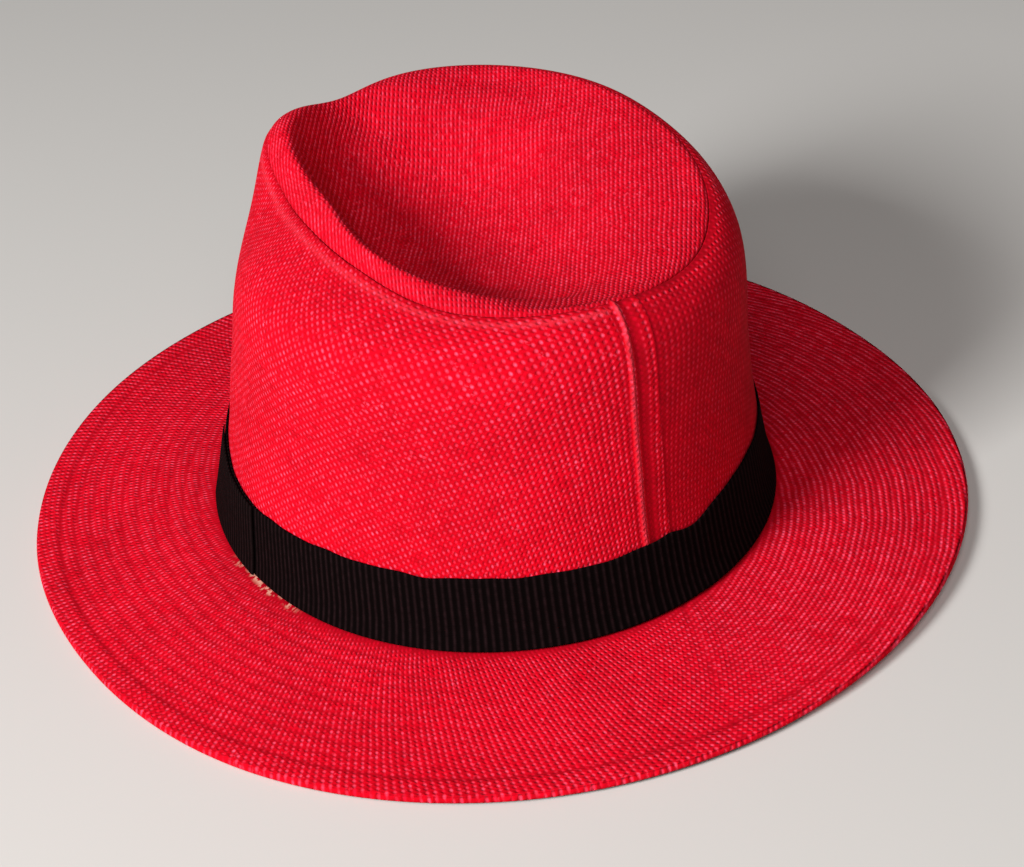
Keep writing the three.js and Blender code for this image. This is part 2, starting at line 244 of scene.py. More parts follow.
# %% Making a mesh from a grid
def grid_mesh(name, points, uv, shade=None, paint=None, loop_rows=True, loop_columns=True):
    """A mesh from points of shape (R, T, 3) in mm, joined across its rows and round its columns if asked.

    uv has shape (R or R + 1, T or T + 1, 2), in mm, with one row or column more where the grid is joined.
    shade has shape (R, T): -1 is painted shade, as in a groove, 1 is a painted highlight on a raised edge.
    paint holds more arrays like it by the names of their attributes.
    """
    rows, columns = points.shape[:2]
    r = np.arange(rows if loop_rows else rows - 1)[:, None]
    t = np.arange(columns if loop_columns else columns - 1)[None, :]
    corners = [(r, t), (r, t + 1), (r + 1, t + 1), (r + 1, t)]
    faces = np.stack([(i % rows) * columns + j % columns for i, j in corners], axis=-1).reshape(-1, 4)
    uv_rows, uv_columns = uv.shape[:2]
    places = np.stack([np.minimum(i, uv_rows - 1) * uv_columns + j for i, j in corners], axis=-1).reshape(-1)
    mesh = bpy.data.meshes.new(name)
    mesh.vertices.add(rows * columns)
    mesh.vertices.foreach_set("co", (points * MM).astype(np.float32).ravel())
    mesh.loops.add(faces.size)
    mesh.loops.foreach_set("vertex_index", faces.ravel().astype(np.int32))
    mesh.polygons.add(len(faces))
    mesh.polygons.foreach_set("loop_start", (np.arange(len(faces)) * 4).astype(np.int32))
    layer = mesh.uv_layers.new(name="threads")
    layer.data.foreach_set("uv", (uv.reshape(-1, 2)[places] * MM).astype(np.float32).ravel())
    tint = mesh.attributes.new("shade", "FLOAT", "POINT")
    values = np.zeros((rows, columns)) if shade is None else shade
    tint.data.foreach_set("value", values.astype(np.float32).ravel())
    for label, painted in (paint or {}).items():
        layer = mesh.attributes.new(label, "FLOAT", "POINT")
        layer.data.foreach_set("value", painted[:rows, :columns].astype(np.float32).ravel())
    mesh.update(calc_edges=True)
    mesh.validate()
    mesh.polygons.foreach_set("use_smooth", np.ones(len(mesh.polygons), bool))
    piece = bpy.data.objects.new(name, mesh)
    bpy.context.scene.collection.objects.link(piece)
    return piece


def report(piece):
    """Prints the size and the number of triangles of a piece."""
    co = np.empty(len(piece.data.vertices) * 3, np.float32)
    piece.data.vertices.foreach_get("co", co)
    co = co.reshape(-1, 3)
    size = (co.max(0) - co.min(0)) / MM
    print(f"{piece.name}: {np.round(size, 1).tolist()} mm, {2 * len(piece.data.polygons)} triangles")


def bump(distance, width):
    """A smooth bell, 1 at distance 0 and nearly 0 at one width."""
    return np.exp(-(2 * distance / width) ** 2)


def smoothstep(low, high, value):
    """0 below low, 1 above high, and a smooth rise between."""
    s = np.clip((value - low) / (high - low), 0, 1)
    return s * s * (3 - 2 * s)


def arc(points, axis):
    """Distance travelled along an axis of a grid of points, starting at 0."""
    step = np.linalg.norm(np.diff(points, axis=axis), axis=-1)
    start = np.zeros_like(np.take(step, [0], axis=axis))
    return np.concatenate([start, np.cumsum(step, axis=axis)], axis=axis)


# %% [markdown]
# ## The side of the crown
# The side panel is one strip of cloth sewn up at the back. Its seam is turned to the outside as a narrow
# welt, and the seam allowance is pressed to one side underneath, where it shows as a faint step about 9 mm
# away. Both are pushed out of the smooth block by a few tenths of a millimetre, as pressing leaves them.

# %% The side panel
SEAM_GROOVE = 0.35
ALLOWANCE = 9.0
GRAIN_TURN = 0.65


def cloth_wave(turn, row):
    """Slow unevenness of the pressed cloth, a sum of a few long waves in both directions, in millimetres."""
    t = np.radians(turn)
    return (0.35 * np.sin(3 * t + 1.3 * row) + 0.25 * np.sin(5 * t - 2.1 * row + 1.0)
            + 0.15 * np.sin(9 * t + 2.7 * row + 2.0))


def from_seam_line(turn, row):
    """Millimetres round the hat from the welt, which leans towards the wearer's right near the tip."""
    return np.radians((turn + 180) % 360 - 180) * foot_radius(turn) + 3.6 * smoothstep(2.4, 3.9, row)


def side_relief(turn, row):
    """How far the side panel stands proud: the welt, the hollow beside it and the edge of the allowance."""
    off = from_seam_line(turn, row)
    above = smoothstep(0.84, 0.9, row)
    welt = WELT_HEIGHT * np.clip(1 - (2 * off / WELT_WIDTH) ** 2, 0, 1) ** 0.7
    hollow = -0.45 * bump(off + 3.0, 3.6)
    edge = 0.14 * smoothstep(-ALLOWANCE - 0.8, -ALLOWANCE, off) * (1 - smoothstep(-2.4, -1.2, off))
    line = 0.08 * bump(off + ALLOWANCE, 1.6)
    wave = cloth_wave(turn, row) * smoothstep(1.05, 1.6, row) * (1 - smoothstep(3.6, 4.0, row)) * 0.6
    return (welt + hollow + edge + line) * above + wave


def side_shade(turn, row, to_seam):
    """Painted highlight on the welt, painted shade in the hollow beside it, in the groove at the tip and
    over the ribbon.
    """
    off = from_seam_line(turn, row)
    above = smoothstep(0.8, 0.88, row)
    welt = 0.5 * bump(off, 2.6)
    hollow = -0.5 * smoothstep(-7.5, -4.0, off) * (1 - smoothstep(-2.0, -1.2, off))
    hollow -= 0.35 * bump(off - 1.8, 1.8)
    line = -0.25 * bump(off + ALLOWANCE + 1.0, 1.6)
    # painted shade in the groove at the tip seam, and a painted highlight on the rolled edge beside it
    groove = -0.25 * bump(to_seam - 0.5, 2.0) + 0.3 * bump(to_seam - 3.2, 2.4)
    foot = -0.5 * (1 - smoothstep(0.8, 0.88, row))
    # painted shade over the side to the wearer's right of the welt
    from_painted_shade = -0.3 * smoothstep(6.0, 12.0, -off) * (1 - smoothstep(75.0, 95.0, -off))
    return (welt + hollow + line + from_painted_shade) * above + groove + foot


side_turns = np.concatenate([np.arange(0, 4, 0.15), np.arange(4, 348, 0.9), np.arange(348, 360, 0.15)])
side_rows = np.concatenate([np.linspace(0, 3.4, 56), np.linspace(3.4, 4.0, 16)[1:]])


def side_grain(smooth, turn):
    """Millimetres along the grain: the cloth was cut as a curved strip, so its grain turns round the hat.

    With the grain at an angle f = GRAIN_TURN sin t to the rings, g the girth and s the height on the cloth,
    u is the integral of cos f dg, less s sin f, and v is s cos f plus the integral of sin f dg.
    """
    middle = smooth.shape[0] // 2
    s = arc(smooth, 0)
    s = s - s[middle]
    f = GRAIN_TURN * np.sin(np.radians(turn[0]))
    step = np.diff(arc(smooth, 1)[middle])
    mid_angle = (f[1:] + f[:-1]) / 2
    along = np.concatenate([[0], np.cumsum(step * np.cos(mid_angle))])
    across = np.concatenate([[0], np.cumsum(step * np.sin(mid_angle))])
    return np.stack([along - s * np.sin(f), s * np.cos(f) + across], axis=-1)


def side_panel():
    """Outside up from the foot to the seam, rolled in at the seam, then the inside down again."""
    turn, row = np.meshgrid(np.append(side_turns, 360.0), side_rows)
    smooth = crown_surface(turn, row)
    to_seam = arc(smooth[::-1], 0)[::-1]
    roll = SEAM_GROOVE * bump(to_seam, 2.4)
    outer = crown_point(turn, row, roll - side_relief(turn, row))
    inner = crown_point(turn, row[::-1], np.full(turn.shape, CLOTH))
    inner[..., 2] = np.maximum(inner[..., 2], FOOT_HEIGHT)
    uv = side_grain(smooth, turn)
    points = np.concatenate([outer, inner])[:, :-1]
    shade = side_shade(turn, row, to_seam)[:, :-1]
    return grid_mesh("crown_side_cloth", points, np.concatenate([uv, uv[::-1], uv[:1]]),
                     np.concatenate([shade, shade[::-1] * 0]))


side = side_panel()
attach(side, "root")
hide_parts("crown_side")
report(side)

# %% [markdown]
# ## The top of the crown
# The tip is an oval panel with a long dent pressed into it by hand, deeper towards the wearer's left. Its
# edge is turned down inside the side panel, so the seam shows as a narrow groove between two rolled edges.

# %% The tip panel
PLAN_GRAIN = 36.0

tip_turns = np.arange(0.0, 360.0, 1.0)
tip_rows = np.concatenate([np.linspace(4.0, 4.6, 14)[1:], np.linspace(4.6, 8.0, 46)[1:]])


def plan_grain(points):
    """Plan coordinates turned by PLAN_GRAIN, the angle of the threads from +Y towards +X."""
    a = math.radians(PLAN_GRAIN)
    x, y = points[..., 0], points[..., 1]
    return np.stack([x * math.cos(a) - y * math.sin(a), x * math.sin(a) + y * math.cos(a)], axis=-1)


def tip_grain(points):
    """Plan coordinates, but each turn is laid out at the length of the cloth from the dent's floor."""
    plan = points[..., :2]
    floor = plan[-1:]
    length = arc(points[::-1], 0)[::-1][..., None]
    flat = np.linalg.norm(plan - floor, axis=-1, keepdims=True)
    grow = np.clip(1 + 0.7 * (length / np.maximum(flat, 1e-6) - 1), 1, 1.6)
    return plan_grain(floor + (plan - floor) * grow)


def tip_panel():
    """Inside from the dent's floor out to the tucked edge, then the outside back to the floor."""
    turns = np.append(tip_turns, 360.0)[None]
    step = crown_surface(turns, SEAM_RING + 1e-3) - crown_surface(turns, SEAM_RING - 1e-3)
    per_mm = 2e-3 / np.linalg.norm(step, axis=-1)
    edge = SEAM_RING + GAP * per_mm
    tucked = SEAM_RING - TUCK * per_mm
    half = (edge + tucked) / 2
    turn, row = np.meshgrid(turns[0], tip_rows)
    smooth = crown_surface(turn, row)
    from_seam = np.linalg.norm(smooth - crown_surface(turns, SEAM_RING), axis=-1)
    near = smoothstep(4.5, 5.2, row) * (1 - smoothstep(6.5, 7.8, row))
    relief = SEAM_GROOVE * bump(from_seam, 2.4) - cloth_wave(turn, row) * near * 0.6
    relief[-1] = 0
    outside = crown_point(turn, row, relief)
    inside = crown_point(turn, row[::-1], np.full(turn.shape, CLOTH))
    under = np.full(turns.shape, CLOTH + GAP)
    lip = [(edge, under + CLOTH), (half, under + CLOTH + GAP), (tucked, under + CLOTH + GAP),
           (tucked, under + GAP), (half, under + GAP), (edge, under), (edge, under * 0 + SEAM_GROOVE + 0.2)]
    folds = [crown_point(turns, place, depth) for place, depth in lip]
    points = np.concatenate([inside, *folds, outside])
    shade = np.zeros(points.shape[:2])
    # painted shade in the groove along the seam
    shade[-len(tip_rows):] = -0.3 * bump(from_seam, 2.0)
    return grid_mesh("crown_tip_cloth", points[:, :-1], tip_grain(points), shade[:, :-1], loop_rows=False)


tip = tip_panel()
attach(tip, "root")
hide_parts("crown_tip")
report(tip)


# %% Closing the dent's floor
def merge_doubles(piece, distance=1e-6):
    """Joins the vertices that lie on one another, such as the two sides of the dent on its floor line."""
    shell = bmesh.new()
    shell.from_mesh(piece.data)
    before = len(shell.verts)
    bmesh.ops.remove_doubles(shell, verts=shell.verts, dist=distance)
    print(f"{piece.name}: joined {before - len(shell.verts)} vertices")
    shell.to_mesh(piece.data)
    shell.free()


merge_doubles(tip)

# %% [markdown]
# ## The brim
# The brim is cut from the same cloth and stiffened by rows of stitches that run round it about every 5 mm.
# Each row pulls the cloth down a little, and the cloth between two rows swells. The hem is folded under and
# sewn 8 mm from the edge, and a seam crosses the brim at the back on a slant.

# %% The brim
ROW_SPACING = 5.3
ROW_DEPTH = 0.3
HEM_GROOVE = 0.35
BRIM_SEAM_OFFSET = -9.0
BRIM_SEAM_LEAN = 20.0
WEAVE_COUNT = 440
WEAVE_NEAR, WEAVE_FAR = 2.25, 1.8
WEAVE_SPIRAL = 0.21
WEAVE_ROUND = 84
BRIM_CELL = (1.9, 2.0)

BRIM_SEAM_TURN = math.degrees(BRIM_SEAM_OFFSET / 130.0)
brim_turns = BRIM_SEAM_TURN + np.arange(0.0, 360.0, 0.72)


def brim_lift(turn):
    """Height of the underside of the brim's edge above the surface, never below it."""
    return np.maximum(0.0, EDGE_LIFT * around(BRIM_LIFT, turn))


def brim_top(turn, share):
    """Height of the brim's upper face at a share of the way out: a line through the slope table."""
    out, down = np.array(BRIM_SLOPE).T
    edge = brim_lift(turn) + HEM_THICKNESS
    top = FOOT_HEIGHT - GAP
    return top + (edge - top) * np.interp(share, out, down)


def stitch_rows(turn, out_mm, width):
    """1 on a row of stitches and 0 between two rows; the rows fade out towards the seam at the back."""
    row = np.cos(2 * np.pi * (width - HEM_WIDTH - out_mm) / ROW_SPACING)
    inside = smoothstep(2.0, 8.0, out_mm) * (1 - smoothstep(-3.0, -1.0, out_mm - (width - HEM_WIDTH)))
    from_back = np.abs((turn + 180) % 360 - 180)
    return np.clip(row, 0, 1) ** 3 * inside * (0.12 + 0.88 * smoothstep(22, 52, from_back))


def from_brim_seam(turn, out_mm):
    """Millimetres from the seam across the back of the brim, a line that leans BRIM_SEAM_LEAN degrees."""
    radius = foot_radius(turn) + out_mm
    lean = np.radians(BRIM_SEAM_LEAN)
    x = radius * np.sin(np.radians(turn)) - BRIM_SEAM_OFFSET
    y = radius * np.cos(np.radians(turn)) - foot_radius(0.0)
    return np.where(y > -20, x * np.cos(lean) - y * np.sin(lean), 99.0)


def brim_relief(turn, out_mm, width):
    """Rows of stitches sink the cloth, and so do the hem's stitches and the seam across the brim."""
    rows = -ROW_DEPTH * stitch_rows(turn, out_mm, width)
    hem = -HEM_GROOVE * bump(out_mm - (width - HEM_WIDTH), 1.7)
    across = from_brim_seam(turn, out_mm)
    seam = -0.35 * bump(across, 1.6) + 0.15 * bump(across + 2.2, 3.0)
    return rows + hem + seam * (1 - 0.6 * smoothstep(width - 4, width, out_mm))


def brim_grain(points):
    """The brim is a bias strip stretched into a ring: its cells fan out and grow shorter towards the edge.

    With r the radius and t the turn from the seam, u counts WEAVE_COUNT cells round the hat and v the cells
    outwards, whose length falls from WEAVE_NEAR to WEAVE_FAR; both lean from the radius, by WEAVE_SPIRAL
    and by the WEAVE_ROUND cells that the rows climb in one turn.
    """
    x, y = points[..., 0], points[..., 1]
    radius = np.maximum(np.hypot(x, y), 1.0)
    turn = np.broadcast_to(np.radians(np.append(brim_turns, brim_turns[0] + 360)), radius.shape)
    drift = 0.04 * np.sin(2 * turn + 0.6) + 0.03 * np.sin(3 * turn)
    leaning = turn + WEAVE_SPIRAL * np.log(radius / 100.0) + drift * (radius / 100 - 1)
    u = WEAVE_COUNT / (2 * np.pi) * leaning
    share = (radius - 90) / 75
    rows = (radius - 90) / (WEAVE_NEAR + (WEAVE_FAR - WEAVE_NEAR) * share / 2)
    v = rows - WEAVE_ROUND / (2 * np.pi) * turn
    return np.stack([u * BRIM_CELL[0], v * BRIM_CELL[1]], axis=-1)


def brim_lines(turn):
    """1 on the wearer's right, where the floats join into lines round the brim, and 0 at the left."""
    from_side = np.abs((turn + 60 + 180) % 360 - 180)
    return 1 - smoothstep(45, 75, from_side)


GLUE_TURNS = (71.0, 76.0, 92.0, 99.0)
GLUE_REACH = 2.1


def brim_glue(turn, out_mm):
    """How much dried glue shows beside the ribbon's lower edge, near the lap on the wearer's left."""
    start, full, fading, end = GLUE_TURNS
    along = smoothstep(start, full, turn) * (1 - smoothstep(fading, end, turn))
    reach = GLUE_REACH + 0.7 * np.sin(np.radians(turn) * 31) + 0.5 * np.sin(np.radians(turn) * 53 + 1)
    return along * (1 - smoothstep(reach, reach + 0.8, out_mm))


def brim_shade(turn, out_mm, width):
    """Shadow where the brim meets the ribbon, in the rows of stitches, at the hem and in the seam."""
    rows = -0.3 * stitch_rows(turn, out_mm, width)
    hem = -0.35 * bump(out_mm - (width - HEM_WIDTH), 1.8)
    foot = -0.7 * bump(out_mm - 0.5, 6.0)
    seam = -0.4 * bump(from_brim_seam(turn, out_mm), 1.4) * (0.6 + 0.4 * np.sin(out_mm / 4))
    return rows + hem + foot + seam


def brim_panel():
    """Up the collar's outside, over the top, round the edge, back underneath, up the collar's inside."""
    turn = np.append(brim_turns, brim_turns[0] + 360)[None]
    foot = foot_radius(turn)
    width = BRIM_WIDTH * around(BRIM_OUT, turn)
    hem = 1 - HEM_WIDTH / width
    fold = (HEM_THICKNESS - CLOTH) / 2
    lift = brim_lift(turn)
    shares = np.linspace(0, 1, 76)[:, None] * (1 - 0.4 / width)
    sink = fold * smoothstep(0, 0.05, shares) * (1 - smoothstep(hem - 0.02, hem + 0.01, shares))
    height = brim_top(turn, shares) - sink + brim_relief(turn, shares * width, width)
    top = on_ray(turn, foot + width * shares, height)
    round_turns = np.linspace(60, -80, 6)[:, None]
    radius = HEM_THICKNESS / 2
    bend = on_ray(turn, foot + width - radius * (1 - np.cos(np.radians(round_turns))),
                  lift + radius + radius * np.sin(np.radians(round_turns)))
    below = np.linspace(0.985, 0, 24)[:, None]
    thick = CLOTH + (HEM_THICKNESS - CLOTH) * smoothstep(hem - 0.02, hem + 0.01, below)
    under_height = np.maximum(brim_top(turn, below) - sink[0] - thick, lift * (below > hem))
    under_height = np.maximum(under_height, 0.0)
    bottom = on_ray(turn, foot + width * below, under_height)
    collar = COLLAR_HEIGHT / RIBBON_HEIGHT
    steps = np.linspace(0, collar, 5)[:, None]
    outside = crown_point(turn + 0 * steps, steps[::-1], np.full((5, turn.size), CLOTH + GAP))
    outside[-1, :, 2] = FOOT_HEIGHT - GAP
    inside = crown_point(turn + 0 * steps, steps, np.full((5, turn.size), 2 * CLOTH + GAP))
    inside[0, :, 2] = FOOT_HEIGHT - GAP - CLOTH / 2
    points = np.concatenate([outside, top, bend, bottom, inside])[::-1]
    shade = np.zeros(points.shape[:2])
    first = len(inside) + len(bottom) + len(bend)
    shade[first:first + len(top)] = brim_shade(turn, shares * width, width)[::-1]
    uv = brim_grain(points)
    glue = np.zeros(points.shape[:2])
    glue[first:first + len(top)] = brim_glue(turn, shares * width)[::-1]
    paint = {"lines": 0 * shade + brim_lines(turn), "glue": glue}
    return grid_mesh("brim_cloth", points[:, :-1], np.concatenate([uv, uv[:1]]), shade[:, :-1], paint)


brim = brim_panel()
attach(brim, "root")
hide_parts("brim")
report(brim)

# %% [markdown]
# ## The ribbon
# The trim is grosgrain, a stiff ribbon whose thick weft cords stand up as ribs across its width, about one
# every 2.3 mm. The ribs are real relief here, because they break up the edge of the ribbon. Its upper edge
# wanders a little and rides up over the seam allowance.

# %% The ribbon and its lapped end
RIB_PITCH = 2.3
RIB_HEIGHT = 0.22
END_TURN = 0.5


def ribbon_top(turn):
    """The ribbon's height as a share: the table, a sag beside the back seam and small unevenness."""
    away = (turn + 180) % 360 - 180
    sag = 0.03 * bump(away + 5, 4.5) - 0.085 * bump(away + 11.5, 11.0) - 0.02 * bump(away - 42, 9.0)
    small = 0.006 * np.sin(np.radians(turn) * 23 + 1.0) + 0.004 * np.sin(np.radians(turn) * 41)
    return around(RIBBON_TOP, turn) + sag + small


def ribbon_strip(name, turn, base, closed):
    """A ribbon from base millimetres outside the crown to base + RIBBON, with a rib every RIB_PITCH."""
    share = np.concatenate([[0.01], np.linspace(0.03, 0.97, 14), [1.0]])[:, None]
    row = share * ribbon_top(turn)
    girth = np.radians(turn) * foot_radius(0.0) * 0.95
    ribs = RIB_HEIGHT * np.abs(np.sin(np.pi * girth / RIB_PITCH)) ** 0.8
    selvedge = smoothstep(0.0, 0.05, share) * (1 - smoothstep(0.95, 1.0, share))
    to_end = np.minimum(turn - turn[:, :1], turn[:, -1:] - turn)
    ends = 1 if closed else np.sqrt(np.clip(to_end / END_TURN, 0, 1))
    thick = (RIBBON - RIB_HEIGHT + ribs * selvedge) * ends
    flare = RIBBON_FLARE * around(RIBBON_SPREAD, turn) * np.clip(1 - share / FLARE_SHARE, 0, None) ** 2
    outer = crown_point(turn + 0 * row, row, -(base + thick + flare))
    inner = crown_point(turn + 0 * row, row[::-1], -(base + flare[::-1]))
    points = np.concatenate([outer, inner])
    uv = np.stack([girth + 0 * row, share * RIBBON_HEIGHT + 0 * row], axis=-1)
    uv = np.concatenate([uv, uv[::-1], uv[:1]])
    # painted shade along the lower edge, where the ribbon meets the brim; the ribbon's material does not
    # read it
    shade = -0.6 * bump(share - 0.01, 0.16) + 0 * row
    shade = np.concatenate([shade, 0 * shade])
    last = -1 if closed else None
    return grid_mesh(name, points[:, :last], uv, shade[:, :last], loop_columns=closed)


band = ribbon_strip("hat_band_ribbon", np.linspace(0, 360, 1561)[None], GAP, True)
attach(band, "root")
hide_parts("hat_band")
report(band)

lap = ribbon_strip("lap_ribbon", np.linspace(LAP_START, LAP_END, 161)[None], 2 * GAP + RIBBON, False)
merge_doubles(lap)
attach(lap, "root")
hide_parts("band_lap")
report(lap)

# %% [markdown]
# ## Materials
# Every material is a graph of nodes. One small function adds a node and fills or links its inputs, so that
# each line of a graph reads like a formula.

# %% Colours and nodes
def linear(hex_colour):
    """An sRGB hex colour as linear red, green, blue and alpha 1."""
    value = np.array([int(hex_colour[i:i + 2], 16) for i in (1, 3, 5)]) / 255
    low = value / 12.92
    high = ((value + 0.055) / 1.055) ** 2.4
    return (*np.where(value <= 0.04045, low, high).tolist(), 1.0)


def add(tree, kind, inputs=(), out=0, **settings):
    """Adds a node, sets its settings, links or fills its inputs, and returns one of its outputs."""
    node = tree.nodes.new("ShaderNode" + kind)
    for name, value in settings.items():
        setattr(node, name, value)
    for key, value in (inputs.items() if isinstance(inputs, dict) else enumerate(inputs)):
        if isinstance(value, bpy.types.NodeSocket):
            tree.links.new(value, node.inputs[key])
        else:
            node.inputs[key].default_value = value
    return node.outputs[out]


def material(name, roughness, sheen=0.0, specular=0.5):
    """A new material, its node tree and its surface shader."""
    made = bpy.data.materials.new(name)
    made.use_nodes = True
    shader = made.node_tree.nodes["Principled BSDF"]
    shader.inputs["Roughness"].default_value = roughness
    shader.inputs["Sheen Weight"].default_value = sheen
    shader.inputs["Sheen Roughness"].default_value = 0.5
    shader.inputs["Specular IOR Level"].default_value = specular
    return made, made.node_tree, shader


# %% [markdown]
# ## Red cloth
# The cloth is a coarse plain weave: each thread passes over and under its neighbours in turn. It is used on
# the bias, so the threads run diagonally. Where a thread lies on top it makes a float, one in each cell; the
# colour paints a sheen on the floats and shade in the gaps between threads. a and b count the threads of the
# two diagonal systems, and u and v the cells across and up.

# %% The weave as a height
THREAD_WANDER = 0.0005


def wave(tree, value, cycles):
    """cos(2 pi cycles value)."""
    return add(tree, "Math", (add(tree, "Math", (value, 2 * math.pi * cycles), operation="MULTIPLY"),),
               operation="COSINE")


def weave(tree, uv, pitch, run):
    """The thread numbers a and b, the floats (0 to 1) and the height of a weave of pitch = (across, up).

    run is how far the floats join into lines up the cloth (0 to 1). Where the attribute "lines" is 1 they
    join across instead. A swell is (1 + wave) / 2, and a run of r lifts it to r + (1 - r) times that.
    """
    wander = add(tree, "TexNoise", {"Vector": uv, "Scale": 70.0, "Detail": 2.0}, "Color",
                 noise_dimensions="2D")
    centred = add(tree, "VectorMath", (wander, (0.5, 0.5, 0.5)), operation="SUBTRACT")
    moved = add(tree, "VectorMath", (centred, (2 * THREAD_WANDER,) * 3, uv), operation="MULTIPLY_ADD")
    cells = add(tree, "Mapping", {"Vector": moved, "Scale": (1 / pitch[0], 1 / pitch[1], 1)})
    across = add(tree, "SeparateXYZ", (cells,), 0)
    up = add(tree, "SeparateXYZ", (cells,), 1)
    a = add(tree, "Math", (across, up), operation="ADD")
    b = add(tree, "Math", (across, up), operation="SUBTRACT")
    ridge_a, ridge_b = (add(tree, "Math", (wave(tree, x, 0.5),), operation="ABSOLUTE") for x in (a, b))
    ridge = add(tree, "Math", (ridge_a, ridge_b), operation="MULTIPLY")
    lines = add(tree, "Attribute", out="Fac", attribute_name="lines")
    run_across = add(tree, "Math", (lines, 0.75), operation="MULTIPLY")
    run_up = add(tree, "Math", (lines, -run, run), operation="MULTIPLY_ADD")
    swells = []
    for value, joined in ((across, run_across), (up, run_up)):
        swell = add(tree, "Math", (wave(tree, value, 1.0), 0.5, 0.5), operation="MULTIPLY_ADD")
        rest = add(tree, "Math", (1.0, joined), operation="SUBTRACT")
        swells.append(add(tree, "Math", (swell, rest, joined), operation="MULTIPLY_ADD"))
    floats = add(tree, "Math", swells, operation="MULTIPLY")
    height = add(tree, "Math", (floats, 0.75, add(tree, "Math", (ridge, 0.3), operation="MULTIPLY")),
                 operation="MULTIPLY_ADD")
    return a, b, floats, height


def slub(tree, number, along, seed):
    """Noise along a thread, new for every thread: its thick and thin, lighter and darker lengths."""
    place = add(tree, "CombineXYZ", (add(tree, "Math", (number,), operation="ROUND"),
                                     add(tree, "Math", (along, 0.16), operation="MULTIPLY"), seed))
    return add(tree, "TexNoise", {"Vector": place, "Scale": 1.0, "Detail": 2.0})


